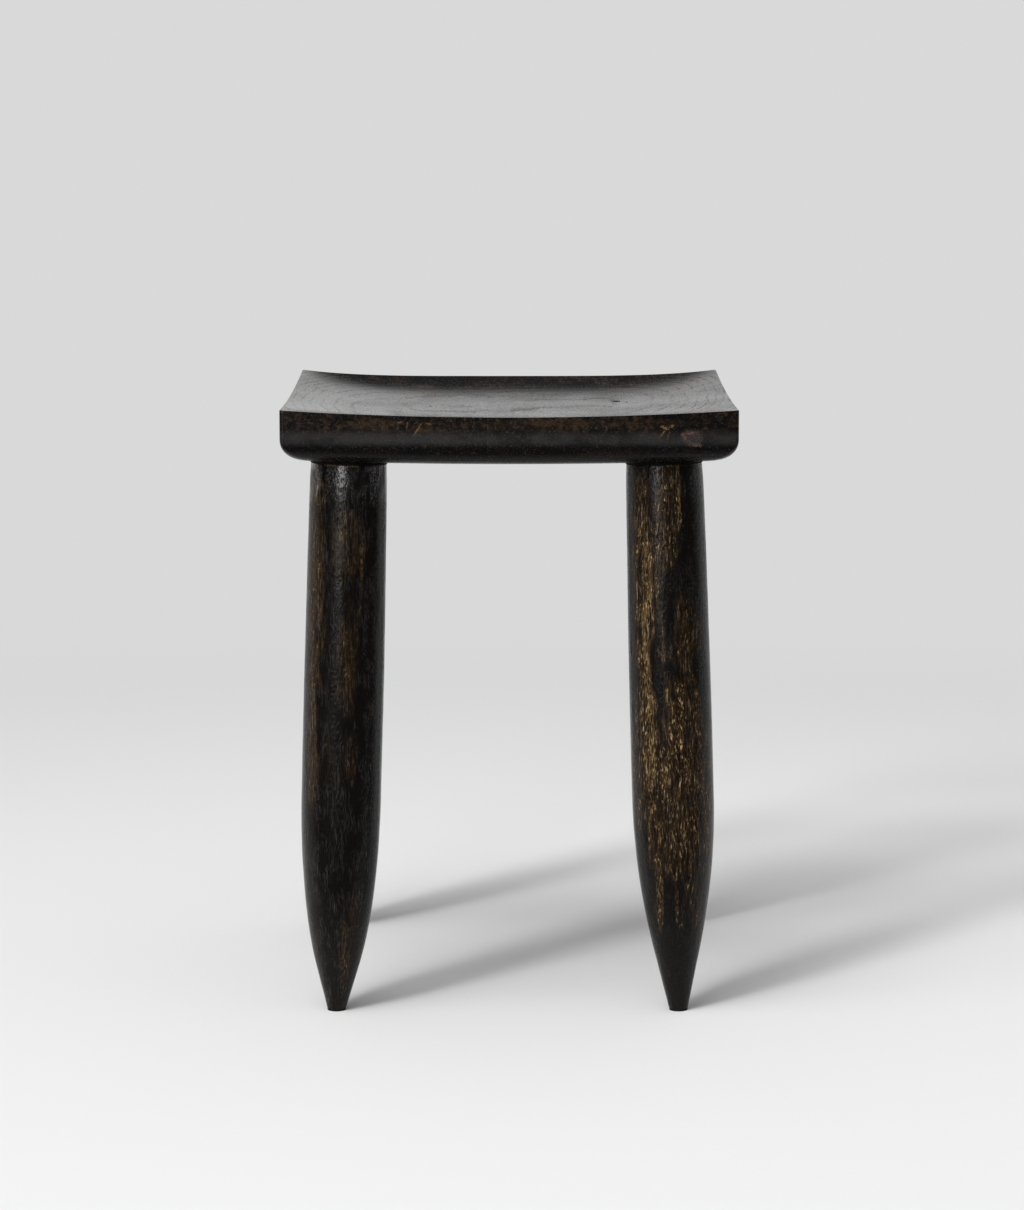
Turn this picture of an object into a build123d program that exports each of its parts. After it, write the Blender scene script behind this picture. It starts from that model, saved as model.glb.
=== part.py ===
from build123d import *

import os
from typing import NamedTuple

# Lobi stool: a square dished seat of four glued boards on four leaning, bullet-shaped legs.
# Each leg screws to a low boss under the seat with a hanger bolt and a threaded insert,
# has a black washer between its top and the boss, and stands on a small tap-in glide.
#
# Millimetres, +Z up. The origin is on the floor under the middle of the seat.
# The front faces -Y and the left side is -X. The boards' grain runs from front to rear.

# ---- Driving dimensions: seat ----
seat_width = 340.0  # along X
seat_depth = 340.0  # along Y
seat_height = 461.0  # floor to the four top corners, the highest points
seat_thickness = 41.0  # from the corners down to the lowest line of the underside
underside_rise = 3.0  # the underside is bowed: its left and right edges lie this much higher
plan_corner_radius = 4.0  # the four upright corners
lower_edge_radius = 17.0  # the round-over all round the underside

# ---- Dish: hollow edges, and a bowl inside them that is steepest beside the edges ----
# With u and v from -1 to 1 across the width and the depth, the top lies below the corners by
# front_edge_sag (1 - u^2) + side_edge_sag (1 - v^2) + bowl_depth (1 - u^4) (1 - v^4)
front_edge_sag = 5.2  # middle of the front and rear edges below the corners
side_edge_sag = 3.2  # middle of the left and right edges below the corners
bowl_depth = 7.5  # middle of the bowl below the surface that the four hollow edges span

# ---- Boards: edge-glued, the right one takes what is left of the width ----
left_board_width = 86.8
mid_left_board_width = 66.7
mid_right_board_width = 97.4

# ---- Legs: hand-shaped, so the two sides differ a little ----
# insets run from the seat's edges in to the leg's axis, at the boss face and at the floor
left_top_inset = 49.6
left_foot_inset = 38.5
right_top_inset = 53.6
right_foot_inset = 41.0
front_top_inset = 46.6  # the rear edge has the same
front_foot_inset = 27.0
rear_outset = 8.5  # the rear legs stand this much further out sideways
leg_top_diameter = 56.8
left_belly_diameter = 59.3
right_belly_diameter = 61.3
left_waist_diameter = 50.4  # at the waist height
right_waist_diameter = 49.0
left_nose_diameter = 33.2  # at the nose height
right_nose_diameter = 30.0
tip_diameter = 14.4  # where the leg is cut level above its glide
# heights along the leg from the floor
belly_height = 190.0  # where it is thickest
shoulder_height = 165.0  # where the belly starts to curve in
waist_height = 85.0  # where the curve tightens
nose_height = 37.0  # where the curve runs out into a straight cone

# ---- Joint between leg and seat ----
boss_drop = 1.4  # boss face below the lowest line of the underside, on the leg's axis
washer_diameter = 57.8
washer_thickness = 1.8
bolt_diameter = 8.0
bolt_screw_length = 40.0  # wood-screw end, in the leg
bolt_point_length = 7.0  # its cone
bolt_stud_length = 17.0  # machine-thread end, above the leg's top
insert_diameter = 12.0
insert_length = 18.0

# ---- Foot glide ----
glide_diameter = 14.0
glide_thickness = 1.6
nail_diameter = 3.0
nail_length = 12.0  # above the glide's disc
nail_point_length = 3.0

# ---- Clearances ----
thread_clearance = 0.1  # on the radius, where one piece screws or taps into another
hole_end_clearance = 1.0  # blind holes are this much deeper than what they hold
washer_hole_clearance = 0.3  # on the radius


class Side(NamedTuple):
    name: str
    sign: int
    top_inset: float
    foot_inset: float
    belly_diameter: float
    waist_diameter: float
    nose_diameter: float


class Row(NamedTuple):
    name: str
    sign: int
    outset: float


class LegPlace(NamedTuple):
    name: str
    side: Side
    foot: Vector  # axis at the floor
    seat: Vector  # axis at the boss face
    up: Vector  # unit vector along the axis


left_side = Side(
    name="left",
    sign=-1,
    top_inset=left_top_inset,
    foot_inset=left_foot_inset,
    belly_diameter=left_belly_diameter,
    waist_diameter=left_waist_diameter,
    nose_diameter=left_nose_diameter,
)
right_side = Side(
    name="right",
    sign=1,
    top_inset=right_top_inset,
    foot_inset=right_foot_inset,
    belly_diameter=right_belly_diameter,
    waist_diameter=right_waist_diameter,
    nose_diameter=right_nose_diameter,
)
sides = (left_side, right_side)
rows = (Row("front", -1, 0.0), Row("rear", 1, rear_outset))
underside_height = seat_height - seat_thickness  # its lowest line, midway across
boss_face_height = underside_height - boss_drop


def place_leg(row, side):
    foot = Vector(
        side.sign * (seat_width / 2 - side.foot_inset + row.outset),
        row.sign * (seat_depth / 2 - front_foot_inset),
        0,
    )
    seat = Vector(
        side.sign * (seat_width / 2 - side.top_inset + row.outset),
        row.sign * (seat_depth / 2 - front_top_inset),
        boss_face_height,
    )
    return LegPlace(f"{row.name}_{side.name}", side, foot, seat, (seat - foot).normalized())


leg_places = [place_leg(row, side) for row in rows for side in sides]


def square_plane(place, drop=0.0):
    """The plane square to a leg's axis, this far below the boss face along the axis."""
    return Plane(origin=place.seat - place.up * drop, z_dir=place.up)


def lengthwise_plane(place, origin):
    """A plane that holds a leg's axis: its local Y runs up the leg and its local X is level."""
    level = place.up.cross(Vector(0, 1, 0)).normalized()
    return Plane(origin=origin, x_dir=level, z_dir=level.cross(place.up))


# ---- Seat ----


def make_dish_face():
    """The dished top as one Bezier patch of the fourth degree, a little larger than the seat."""
    reach = 1.03
    # u^2 and u^4 at the patch's five control points, from u = -reach to u = reach
    square = [reach**2 * value for value in (1, 0, -1 / 3, 0, 1)]
    fourth = [reach**4 * value for value in (1, -1, 1, -1, 1)]

    def control_point(i, j):
        x = seat_width * reach * (i / 4 - 0.5)
        y = seat_depth * reach * (j / 4 - 0.5)
        edges = front_edge_sag * (1 - square[i]) + side_edge_sag * (1 - square[j])
        bowl = bowl_depth * (1 - fourth[i]) * (1 - fourth[j])
        return (x, y, seat_height - edges - bowl)

    return Face.make_bezier_surface([[control_point(i, j) for j in range(5)] for i in range(5)])


def make_seat_panel():
    """The glued-up seat as one solid with its four bosses, before it is divided into boards."""
    boss_overlap = underside_rise + boss_drop + lower_edge_radius / 2

    with BuildPart() as panel:
        # seen from the front: a slab with a bowed underside
        with BuildSketch(Plane.XZ):
            with BuildLine():
                edge_height = underside_height + underside_rise
                Polyline(
                    (-seat_width / 2, edge_height),
                    (-seat_width / 2, seat_height),
                    (seat_width / 2, seat_height),
                    (seat_width / 2, edge_height),
                )
                ThreePointArc(
                    (seat_width / 2, edge_height),
                    (0, underside_height),
                    (-seat_width / 2, edge_height),
                )
            make_face()
        extrude(amount=seat_depth / 2, both=True)

        underside = panel.faces().sort_by(Axis.Z)[0]
        fillet(underside.edges(), radius=lower_edge_radius)

        # the upright corners are rounded off
        corner_room = 2 * plan_corner_radius
        with BuildSketch(Plane.XY.offset(underside_height)):
            Rectangle(seat_width + corner_room, seat_depth + corner_room)
            RectangleRounded(seat_width, seat_depth, plan_corner_radius, mode=Mode.SUBTRACT)
        extrude(amount=seat_thickness, mode=Mode.SUBTRACT)

        for place in leg_places:
            with BuildSketch(square_plane(place)):
                Circle(leg_top_diameter / 2)
            extrude(amount=boss_overlap)

        extrude(
            to_extrude=make_dish_face(),
            amount=seat_thickness,
            dir=(0, 0, 1),
            mode=Mode.SUBTRACT,
        )

        for place in leg_places:
            with BuildSketch(square_plane(place)):
                Circle(insert_diameter / 2 + thread_clearance)
            extrude(amount=insert_length + hole_end_clearance, mode=Mode.SUBTRACT)

    return panel.part


def make_board(panel, left_x, right_x):
    """The slice of the panel between two glue lines."""
    with BuildPart() as board:
        add(panel)
        split(bisect_by=Plane.YZ.offset(left_x), keep=Keep.TOP)
        split(bisect_by=Plane.YZ.offset(right_x), keep=Keep.BOTTOM)
    return board.part


# ---- Legs and what fastens them ----


def make_leg(place):
    top = (place.seat - place.foot).length - washer_thickness
    belly_radius = place.side.belly_diameter / 2
    waist_radius = place.side.waist_diameter / 2
    nose_radius = place.side.nose_diameter / 2
    tip_radius = tip_diameter / 2
    cone_slope = (nose_radius - tip_radius) / (nose_height - glide_thickness)
    spare = tip_radius / 2  # the cone runs on past the level cut

    with BuildPart() as leg:
        with BuildSketch(lengthwise_plane(place, place.foot)):
            with BuildLine():
                tip = (tip_radius - cone_slope * spare, glide_thickness - spare)
                Line((0, tip[1]), tip)
                Line(tip, (nose_radius, nose_height))
                shoulder_curve = TangentArc(
                    (belly_radius, shoulder_height),
                    (waist_radius, waist_height),
                    tangent=(0, -1),
                )
                TangentArc(
                    (waist_radius, waist_height),
                    (nose_radius, nose_height),
                    tangent=shoulder_curve % 1,
                )
                Line((belly_radius, shoulder_height), (belly_radius, belly_height))
                TangentArc(
                    (belly_radius, belly_height),
                    (leg_top_diameter / 2, top),
                    tangent=(0, 1),
                )
                Line((leg_top_diameter / 2, top), (0, top))
                Line((0, top), (0, tip[1]))
            make_face()
        revolve(axis=Axis(place.foot, place.up))

        # the foot is cut level, for its glide
        split(bisect_by=Plane.XY.offset(glide_thickness), keep=Keep.TOP)

        with BuildSketch(square_plane(place, washer_thickness)):
            Circle(bolt_diameter / 2 + thread_clearance)
        extrude(amount=-(bolt_screw_length + hole_end_clearance), mode=Mode.SUBTRACT)

        with BuildSketch(nail_plane(place)):
            Circle(nail_diameter / 2 + thread_clearance)
        extrude(amount=nail_length + hole_end_clearance, mode=Mode.SUBTRACT)
    return leg.part


def make_washer(place):
    with BuildPart() as washer:
        with BuildSketch(square_plane(place)):
            Circle(washer_diameter / 2)
            Circle(bolt_diameter / 2 + washer_hole_clearance, mode=Mode.SUBTRACT)
        extrude(amount=-washer_thickness)
    return washer.part


def make_hanger_bolt(place):
    radius = bolt_diameter / 2
    with BuildPart() as bolt:
        # the bolt's middle, at local height 0, is level with the leg's top face
        leg_top = square_plane(place, washer_thickness).origin
        with BuildSketch(lengthwise_plane(place, leg_top)):
            with BuildLine():
                Polyline(
                    (0, -bolt_screw_length),
                    (radius, bolt_point_length - bolt_screw_length),
                    (radius, bolt_stud_length),
                    (0, bolt_stud_length),
                    close=True,
                )
            make_face()
        revolve(axis=Axis(place.foot, place.up))
    return bolt.part


def make_insert(place):
    with BuildPart() as insert:
        with BuildSketch(square_plane(place)):
            Circle(insert_diameter / 2)
            Circle(bolt_diameter / 2 + thread_clearance, mode=Mode.SUBTRACT)
        extrude(amount=insert_length)
    return insert.part


def nail_plane(place):
    """The level plane of the foot's cut, centred where the leg's axis crosses it."""
    centre = place.foot + place.up * (glide_thickness / place.up.Z)
    return Plane(origin=centre, z_dir=(0, 0, 1))


def make_glide(place):
    with BuildPart() as glide:
        with BuildSketch(nail_plane(place)):
            Circle(glide_diameter / 2)
        extrude(amount=-glide_thickness)
        with BuildSketch(nail_plane(place)):
            Circle(nail_diameter / 2)
        extrude(amount=nail_length)
        point = glide.edges().group_by(Axis.Z)[-1]
        chamfer(point, length=nail_point_length, length2=nail_diameter / 2 - thread_clearance)
    return glide.part


# ---- Build and write ----


def write(part, name):
    part.label = name
    export_step(part, f"parts/{name}.step")


os.makedirs("parts", exist_ok=True)

left_edge = -seat_width / 2
first_joint = left_edge + left_board_width
second_joint = first_joint + mid_left_board_width
third_joint = second_joint + mid_right_board_width
right_edge = seat_width / 2

seat_panel = make_seat_panel()
write(make_board(seat_panel, left_edge, first_joint), "seat_board_left")
write(make_board(seat_panel, first_joint, second_joint), "seat_board_mid_left")
write(make_board(seat_panel, second_joint, third_joint), "seat_board_mid_right")
write(make_board(seat_panel, third_joint, right_edge), "seat_board_right")

for leg_place in leg_places:
    write(make_leg(leg_place), f"leg_{leg_place.name}")
    write(make_washer(leg_place), f"leg_washer_{leg_place.name}")
    write(make_hanger_bolt(leg_place), f"hanger_bolt_{leg_place.name}")
    write(make_insert(leg_place), f"threaded_insert_{leg_place.name}")
    write(make_glide(leg_place), f"foot_glide_{leg_place.name}")
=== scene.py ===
"""Looks of the lobi stool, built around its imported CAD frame. Metres, in the row's frame."""

import math

import bmesh
import bpy
import numpy as np
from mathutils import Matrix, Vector


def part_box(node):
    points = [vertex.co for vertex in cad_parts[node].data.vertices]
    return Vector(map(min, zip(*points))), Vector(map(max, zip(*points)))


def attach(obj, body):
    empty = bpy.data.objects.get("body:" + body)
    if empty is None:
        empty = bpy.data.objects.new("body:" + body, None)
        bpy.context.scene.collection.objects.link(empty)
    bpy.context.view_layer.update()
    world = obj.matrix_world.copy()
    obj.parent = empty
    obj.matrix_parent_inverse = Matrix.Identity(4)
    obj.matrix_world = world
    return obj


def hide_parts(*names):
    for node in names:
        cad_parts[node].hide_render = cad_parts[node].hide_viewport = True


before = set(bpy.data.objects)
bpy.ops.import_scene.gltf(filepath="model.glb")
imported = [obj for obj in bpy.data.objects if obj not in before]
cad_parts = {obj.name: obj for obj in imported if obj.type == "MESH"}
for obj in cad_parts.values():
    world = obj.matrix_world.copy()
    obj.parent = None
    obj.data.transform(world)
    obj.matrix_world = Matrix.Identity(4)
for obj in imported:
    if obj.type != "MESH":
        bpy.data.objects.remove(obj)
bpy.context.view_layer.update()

MM = 0.001
SIDES = ("left", "right")
LEG_NAMES = [f"{row}_{side}" for row in ("front", "rear") for side in SIDES]
BOARD_NAMES = [f"seat_board_{name}" for name in ("left", "mid_left", "mid_right", "right")]

# Seat, as the CAD has it
SEAT_HEIGHT = 461 * MM
FRONT_EDGE_SAG = 5.2 * MM
SIDE_EDGE_SAG = 3.2 * MM
BOWL_DEPTH = 7.5 * MM
BOWL_POWER = 4
UNDERSIDE_RISE = 3.0 * MM

# Seat, as the photograph shows it a little apart from the CAD
UNDERSIDE_DROP = 0.9 * MM
LOWER_EDGE_RADIUS = 16.5 * MM
PLAN_CORNER_RADIUS = 2.5 * MM
CORNER_GROWTH = 8 * MM  # how much rounder the plan's corners are on the underside
SEAT_ARRIS = 0.6 * MM

# Legs, as the CAD has them: heights run along the leg from the floor
BELLY_RADIUS = {"left": 29.65 * MM, "right": 30.65 * MM}
WAIST_RADIUS = {"left": 25.2 * MM, "right": 24.5 * MM}
NOSE_RADIUS = {"left": 16.6 * MM, "right": 15.0 * MM}
LEG_TOP_RADIUS = 28.4 * MM
TIP_RADIUS = 7.2 * MM
BELLY_HEIGHT = 190 * MM
SHOULDER_HEIGHT = 165 * MM
WAIST_HEIGHT = 85 * MM
NOSE_HEIGHT = 37 * MM
WASHER_THICKNESS = 1.8 * MM
GLIDE_THICKNESS = 1.6 * MM

# Bores, as the CAD has them: for the bolt and the glide's nail in a leg, for the insert in a boss
BOLT_BORE_RADIUS = 4.1 * MM
BOLT_BORE_DEPTH = 41 * MM
NAIL_HOLE_RADIUS = 1.6 * MM
NAIL_HOLE_DEPTH = 13 * MM
INSERT_BORE_RADIUS = 6.1 * MM
INSERT_BORE_DEPTH = 19 * MM

# Hand carving, in millimetres: how much fuller the legs are than the CAD's on average, then the
# legs' ripples as grain across, grain along and height, and the seat's dents as grain along X, Y
# and Z and half depth
FULLNESS = {"left": 0.45, "right": 0.3}
LEG_RIPPLES = [(26, 90, 0.25), (9, 60, 0.18), (5, 9, 0.05)]
SEAT_DENTS = [(55, 70, 40, 0.10), (14, 32, 14, 0.03), (6, 8, 6, 0.01)]
SEAT_DENTS_SEED = 11


def mm(*lengths):
    """Millimetres turned into metres."""
    return tuple(length * MM for length in lengths)


# ---- Mesh helpers ----


def random_values(cells, seed):
    """A number from -1 to 1 for each whole-numbered cell, always the same for the same seed."""
    bits = 0xFFFFFFFF
    key = cells @ np.array([73856093, 19349663, 83492791]) + seed * 2654435761
    key = (key ^ (key >> 13)) * 1274126177 & bits
    key = (key ^ (key >> 16)) * 2246822519 & bits
    return key / bits * 2 - 1


def smooth_noise(points, grain, seed):
    """Smooth noise from -1 to 1 at each point; grain is its size in metres along each axis."""
    cells = points / np.asarray(grain) + 37.7 * seed
    base = np.floor(cells).astype(np.int64)
    part = cells - base
    part = part * part * (3 - 2 * part)
    total = np.zeros(len(points))
    for corner in np.ndindex(2, 2, 2):
        offset = np.array(corner)
        share = np.prod(np.where(offset, part, 1 - part), axis=1)
        total += random_values(base + offset, seed) * share
    return total


def make_object(name, mesh):
    """A new object of the scene."""
    obj = bpy.data.objects.new(name, mesh)
    bpy.context.scene.collection.objects.link(obj)
    return obj


def shade(mesh, sharp_degrees=40):
    """Smooth shading, but for edges that turn by more than this angle."""
    mesh.polygons.foreach_set("use_smooth", [True] * len(mesh.polygons))
    mesh.set_sharp_from_angle(angle=math.radians(sharp_degrees))


def vertex_rows(mesh, name):
    """The places (co) or normals of all vertices, a row each."""
    values = np.zeros(len(mesh.vertices) * 3)
    mesh.vertices.foreach_get(name, values)
    return values.reshape(-1, 3)


def grid_faces(index):
    """Quads over a grid of vertex numbers, facing up where its rows follow each other along X."""
    corners = [index[:-1, :-1], index[1:, :-1], index[1:, 1:], index[:-1, 1:]]
    return np.stack(corners, -1).reshape(-1, 4)


def ring_faces(rows, columns):
    """Quads between successive closed rings of as many points."""
    row, column = np.meshgrid(np.arange(rows - 1), np.arange(columns), indexing="ij")
    here = row * columns + column
    beside = row * columns + (column + 1) % columns
    return np.stack([here, beside, beside + columns, here + columns], axis=-1).reshape(-1, 4)


def lathe(name, origin, up, profile, columns, ripple=None):
    """A closed solid of revolution about a leaning axis. profile is (radius, height) from the
    lower pole to the upper one; ripple gives how far each point stands out, from its angle and
    height."""
    up = Vector(up).normalized()
    side = up.cross(Vector((0, 1, 0))).normalized()
    basis = np.array([side, up.cross(side), up])
    angles = np.arange(columns) * 2 * math.pi / columns
    profile = np.array(profile, float)
    radius, angle = np.meshgrid(profile[1:-1, 0], angles, indexing="ij")
    height = np.repeat(profile[1:-1, 1][:, None], columns, axis=1)
    if ripple is not None:
        radius = radius + ripple(angle, height)
    local = np.stack([radius * np.cos(angle), radius * np.sin(angle), height], axis=-1)
    points = local.reshape(-1, 3) @ basis + np.array(origin)
    poles = np.array([[0, 0, profile[0, 1]], [0, 0, profile[-1, 1]]]) @ basis + np.array(origin)
    rows = len(profile) - 2
    low, high = rows * columns, rows * columns + 1
    faces = ring_faces(rows, columns).tolist()
    faces += [[(i + 1) % columns, i, low] for i in range(columns)]
    last = (rows - 1) * columns
    faces += [[last + i, last + (i + 1) % columns, high] for i in range(columns)]
    mesh = bpy.data.meshes.new(name)
    mesh.from_pydata(np.vstack([points, poles]).tolist(), [], faces)
    mesh.update()
    return mesh


# ---- Legs ----


class LegPlace:
    """Where the CAD has a leg: its axis runs from the glide's middle to the washer's middle."""

    def __init__(self, name):
        self.name = name
        self.side = name.split("_")[1]
        glide_low, glide_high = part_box(f"foot_glide_{name}")
        washer_low, washer_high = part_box(f"leg_washer_{name}")
        tip = (glide_low + glide_high) / 2
        tip.z = GLIDE_THICKNESS
        washer = (washer_low + washer_high) / 2
        self.up = (washer - tip).normalized()
        self.foot = tip - self.up * (GLIDE_THICKNESS / self.up.z)
        self.washer = washer
        self.length = (washer - self.foot).length - WASHER_THICKNESS / 2


def tangent_arc(x0, h0, slope0, x1, h1, h):
    """x at h on the circle that leaves (x0, h0) at dx/dh = slope0 and passes (x1, h1), and the
    circle's slope at h1."""
    start = np.array([x0, h0])
    along = np.array([slope0, 1.0]) * np.sign(h1 - h0)
    along /= np.linalg.norm(along)
    normal = np.array([along[1], -along[0]])
    chord = np.array([x1, h1]) - start
    reach = (chord @ chord) / (2 * (chord @ normal))
    centre = start + normal * reach
    sign = np.sign(x0 - centre[0])
    x = centre[0] + sign * np.sqrt(np.maximum(reach**2 - (h - centre[1]) ** 2, 0))
    end_slope = -(h1 - centre[1]) / (x1 - centre[0])
    return x, end_slope


def leg_radius(side, length, h):
    """Radius of a leg at heights h along it."""
    belly, waist, nose = BELLY_RADIUS[side], WAIST_RADIUS[side], NOSE_RADIUS[side]
    swell, _ = tangent_arc(belly, BELLY_HEIGHT, 0.0, LEG_TOP_RADIUS, length, h)
    shoulder, waist_slope = tangent_arc(belly, SHOULDER_HEIGHT, 0.0, waist, WAIST_HEIGHT, h)
    curve, _ = tangent_arc(waist, WAIST_HEIGHT, waist_slope, nose, NOSE_HEIGHT, h)
    cone_share = (h - GLIDE_THICKNESS) / (NOSE_HEIGHT - GLIDE_THICKNESS)
    cone = TIP_RADIUS + (nose - TIP_RADIUS) * cone_share
    return np.select(
        [h > BELLY_HEIGHT, h > SHOULDER_HEIGHT, h > WAIST_HEIGHT, h > NOSE_HEIGHT],
        [swell, np.full_like(h, belly), shoulder, curve],
        cone,
    )


def make_leg(place, seed):
    """A carved leg with the bolt's bore in its top and the glide's nail hole in its tip."""
    columns = 144
    row_step = 2.2 * MM
    arris = 0.7 * MM
    heights = np.arange(GLIDE_THICKNESS, place.length - 2 * arris, row_step)
    body = zip(leg_radius(place.side, place.length, heights), heights)
    turns = np.linspace(0, math.pi / 2, 5)
    arris_rows = [
        (LEG_TOP_RADIUS - arris * (1 - math.cos(t)), place.length - arris * (1 - math.sin(t)))
        for t in turns
    ]
    tip_round = 0.5 * MM
    bottom = GLIDE_THICKNESS
    profile = [
        (0, bottom + NAIL_HOLE_DEPTH),
        (NAIL_HOLE_RADIUS, bottom + NAIL_HOLE_DEPTH),
        (NAIL_HOLE_RADIUS, bottom),
        (TIP_RADIUS - tip_round, bottom),
        *body,
        *arris_rows,
        (BOLT_BORE_RADIUS, place.length),
        (BOLT_BORE_RADIUS, place.length - BOLT_BORE_DEPTH),
        (0, place.length - BOLT_BORE_DEPTH),
    ]

    def ripple(angle, height):
        around = 28 * MM  # radius of the cylinder that the ripples are laid on
        outside = np.stack([np.cos(angle), np.sin(angle), height], axis=-1).reshape(-1, 3)
        outside *= [around, around, 1]
        total = FULLNESS[place.side]
        for layer, (across, along, amount) in enumerate(LEG_RIPPLES):
            total = total + amount * smooth_noise(outside, mm(across, across, along), seed + layer)
        # nothing at the tip and at the top edge, where glide and washer sit
        tip_end, tip_reach, top_reach = 6 * MM, 40 * MM, 12 * MM
        fade = np.clip((height - tip_end) / tip_reach, 0, 1)
        fade *= np.clip((place.length - height) / top_reach, 0, 1)
        return (total * MM).reshape(angle.shape) * fade

    mesh = lathe(f"leg_{place.name}", place.foot, place.up, profile, columns, ripple)
    level_the_foot(mesh)
    shade(mesh)
    piece = make_object(f"wood_leg_{place.name}", mesh)
    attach(piece, "root")
    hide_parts(f"leg_{place.name}")
    return piece


def level_the_foot(mesh):
    """Turns the square-cut tip of a leaning leg level with the floor, to lie flat on its glide."""
    reach = 1.2 * MM
    for vertex in mesh.vertices:
        if vertex.co.z <= GLIDE_THICKNESS + reach:
            vertex.co.z = GLIDE_THICKNESS


# ---- Seat ----

seat_low = Vector(map(min, zip(*[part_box(name)[0] for name in BOARD_NAMES])))
seat_high = Vector(map(max, zip(*[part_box(name)[1] for name in BOARD_NAMES])))
HALF_WIDTH = (seat_high.x - seat_low.x) / 2
HALF_DEPTH = (seat_high.y - seat_low.y) / 2
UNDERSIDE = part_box("seat_board_mid_left")[0].z - UNDERSIDE_DROP
GLUE_LINES = [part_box(name)[1].x for name in BOARD_NAMES[:-1]]


def dish_height(x, y):
    """The top, as the CAD has it but for the rear edge, which the photograph shows flatter along
    its middle and steeper at its ends: its curve's power is 4, where the front edge's is 2."""
    u, v = x / HALF_WIDTH, y / HALF_DEPTH
    edges = FRONT_EDGE_SAG * (1 - np.abs(u) ** (3 + v)) + SIDE_EDGE_SAG * (1 - v**2)
    bowl = BOWL_DEPTH * (1 - np.abs(u) ** BOWL_POWER) * (1 - np.abs(v) ** BOWL_POWER)
    return SEAT_HEIGHT - edges - bowl


def underside_height(x):
    return UNDERSIDE + UNDERSIDE_RISE * (x / HALF_WIDTH) ** 2


def side_height(x, y, share):
    """Down the upright side, from the top's arris at share 0 to the lower edge at share 1."""
    top = dish_height(x, y) - SEAT_ARRIS
    bottom = underside_height(x) + LOWER_EDGE_RADIUS
    return top + (bottom - top) * share


def rounded_square(u, v, inset, corner):
    """Maps points of the square -1..1 to the seat's plan, drawn in by inset and with its corners
    rounded to this radius."""
    reach = np.maximum(np.maximum(np.abs(u), np.abs(v)), 1e-9)
    half_x, half_y = HALF_WIDTH - inset, HALF_DEPTH - inset
    x, y = np.abs(u) / reach * half_x, np.abs(v) / reach * half_y
    over_x, over_y = x - (half_x - corner), y - (half_y - corner)
    in_corner = (over_x > 0) & (over_y > 0)
    length = np.where(in_corner, np.hypot(over_x, over_y), 1.0)
    x = np.where(in_corner, half_x - corner + over_x / length * corner, x)
    y = np.where(in_corner, half_y - corner + over_y / length * corner, y)
    return x * np.sign(u) * reach, y * np.sign(v) * reach


def grid_stations():
    """Stations across the seat from -1 to 1: close together at the edges, 2.2 mm apart inside."""
    edge = mm(0, 0.4, 0.9, 1.5, 2.2, 3.1, 4.2, 5.6, 7.3)
    inner_start, inner_count = 9.3 * MM, 74
    inner = np.linspace(inner_start, HALF_WIDTH, inner_count)
    half = 1 - np.concatenate([edge, inner]) / HALF_WIDTH
    return np.concatenate([-half, half[-2::-1]])


def make_seat_mesh():
    """The whole seat as one closed mesh, before it is parted into its boards."""
    arris_rows, side_rows, lower_edge_rows = 4, 11, 13
    quarter_turn = math.pi / 2
    stations = grid_stations()
    count = len(stations)
    u, v = np.meshgrid(stations, stations, indexing="ij")
    index = np.arange(count * count).reshape(count, count)

    # the border of the grid, once round, anticlockwise from above
    border = np.concatenate([index[:-1, 0], index[-1, :-1], index[:0:-1, -1], index[0, :0:-1]])
    border_u, border_v = u.ravel()[border], v.ravel()[border]

    x, y = rounded_square(u.ravel(), v.ravel(), SEAT_ARRIS, PLAN_CORNER_RADIUS - SEAT_ARRIS)
    points = [np.stack([x, y, dish_height(x, y)], axis=-1)]

    def add_ring(inset, corner, height):
        x, y = rounded_square(border_u, border_v, inset, corner)
        points.append(np.stack([x, y, height(x, y)], axis=-1))

    # rings from the top's border down to the underside's; each row starts where the last one ended
    for turn in np.linspace(0, quarter_turn, arris_rows + 1)[1:]:
        inset = SEAT_ARRIS * (1 - math.sin(turn))
        drop = SEAT_ARRIS * (1 - math.cos(turn))
        add_ring(inset, PLAN_CORNER_RADIUS - inset, lambda x, y: dish_height(x, y) - drop)
    for share in np.linspace(0, 1, side_rows + 1)[1:]:
        add_ring(0.0, PLAN_CORNER_RADIUS, lambda x, y: side_height(x, y, share))
    for turn in np.linspace(0, quarter_turn, lower_edge_rows + 1)[1:]:
        inset = LOWER_EDGE_RADIUS * (1 - math.cos(turn))
        lift = LOWER_EDGE_RADIUS * (1 - math.sin(turn))
        corner = PLAN_CORNER_RADIUS + CORNER_GROWTH * math.sin(turn) ** 2
        add_ring(inset, corner, lambda x, y: underside_height(x) + lift)

    ring_count = len(points) - 1
    ring_size = len(border)
    first = count * count
    rings = [border] + [first + k * ring_size + np.arange(ring_size) for k in range(ring_count)]
    faces = [grid_faces(index)]
    for upper, lower in zip(rings, rings[1:]):
        faces.append(np.stack([lower, np.roll(lower, -1), np.roll(upper, -1), upper], -1))

    # the underside repeats the top's grid inside the last ring
    inner = np.ones((count, count), bool)
    inner[[0, -1], :] = inner[:, [0, -1]] = False
    corner = PLAN_CORNER_RADIUS + CORNER_GROWTH
    x, y = rounded_square(u[inner], v[inner], LOWER_EDGE_RADIUS, corner)
    points.append(np.stack([x, y, underside_height(x)], axis=-1))
    under = np.zeros((count, count), int)
    under[inner] = first + ring_count * ring_size + np.arange(inner.sum())
    under.ravel()[border] = rings[-1]
    # facing down, with each quad's first corner still its first
    faces.append(np.roll(grid_faces(under)[:, ::-1], 1, axis=1))
    mesh = bpy.data.meshes.new("seat")
    mesh.from_pydata(np.vstack(points).tolist(), [], np.vstack(faces).tolist())
    mesh.update()
    carve(mesh)
    return mesh


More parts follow.
